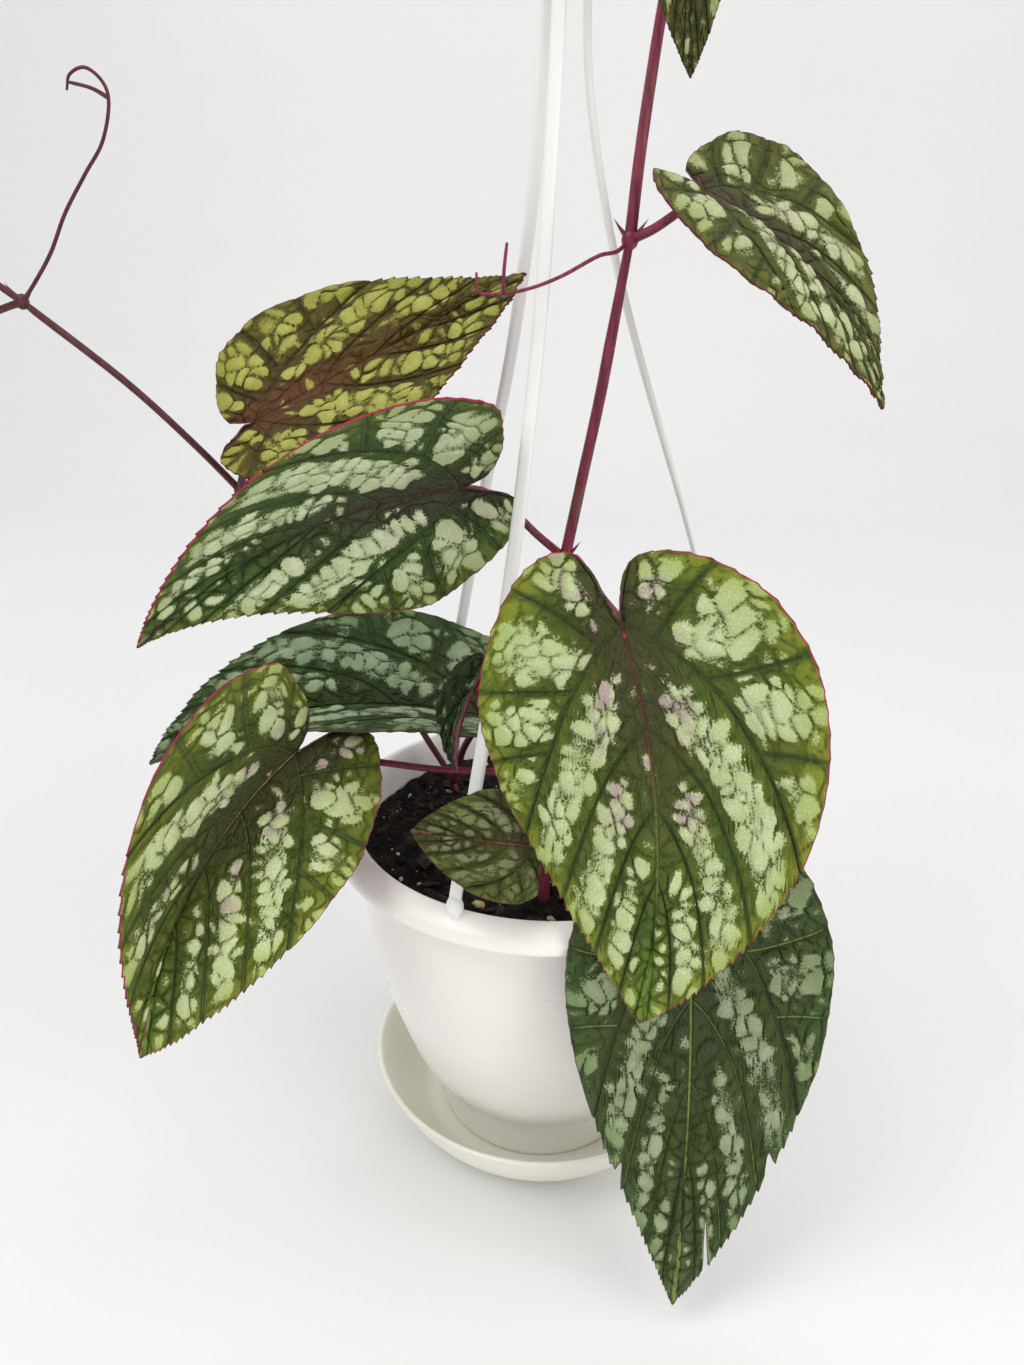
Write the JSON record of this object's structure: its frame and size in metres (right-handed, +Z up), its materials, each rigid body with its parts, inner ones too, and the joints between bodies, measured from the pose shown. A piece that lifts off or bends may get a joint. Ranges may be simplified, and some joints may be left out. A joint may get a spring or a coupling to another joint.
{
  "type": "potted rex begonia vine",
  "caption": "Young climbing vine with large quilted heart-shaped leaves, silver patches and tendrils, in a white hanging pot that stands on its saucer.",
  "frame": {"origin": "centre of the saucer's flat underside, on the pot's axis", "axes": "+Z up along the pot's axis; -Y towards the front, where the largest leaf hangs over the rim; +X to the right as seen from the front"},
  "size_m": [0.3145, 0.1823, 0.4796],
  "materials": {
    "saucer_plastic": "smooth cream-white plastic, a little translucent",
    "pot_plastic": "smooth warm white plastic",
    "hanger_plastic": "satin white moulded plastic",
    "potting_mix": "moist, loose and near black, with bark chips and perlite",
    "right_stem": "maroon, ridged, faintly waxy",
    "left_stem": "dark maroon, ridged, faintly waxy",
    "silver_green_leaf": "quilted, velvety green with silver patches between the veins, purple-red underneath",
    "dark_leaf": "quilted dark green with grey-green patches, purple-red underneath",
    "olive_leaf": "quilted olive green with a brownish centre and cream-green patches"
  },
  "bodies": {
    "root": {"saucer": "saucer_plastic", "pot": "pot_plastic", "hanger_strap_1": "hanger_plastic", "hanger_strap_2": "hanger_plastic", "hanger_strap_3": "hanger_plastic", "hanger_hook": "hanger_plastic", "soil": "potting_mix", "vine_right": "right_stem", "vine_left": "left_stem", "leaf_front": "silver_green_leaf", "leaf_low": "dark_leaf", "leaf_left_low": "silver_green_leaf", "leaf_left_back": "dark_leaf", "leaf_left_mid": "silver_green_leaf", "leaf_left_top": "olive_leaf", "leaf_right_top": "olive_leaf", "leaf_top": "olive_leaf", "leaf_young": "olive_leaf", "leaf_hanging": "dark_leaf", "leaf_shoot": "olive_leaf", "leaf_branch_1": "olive_leaf", "leaf_branch_2": "olive_leaf"}
  },
  "joints": []
}
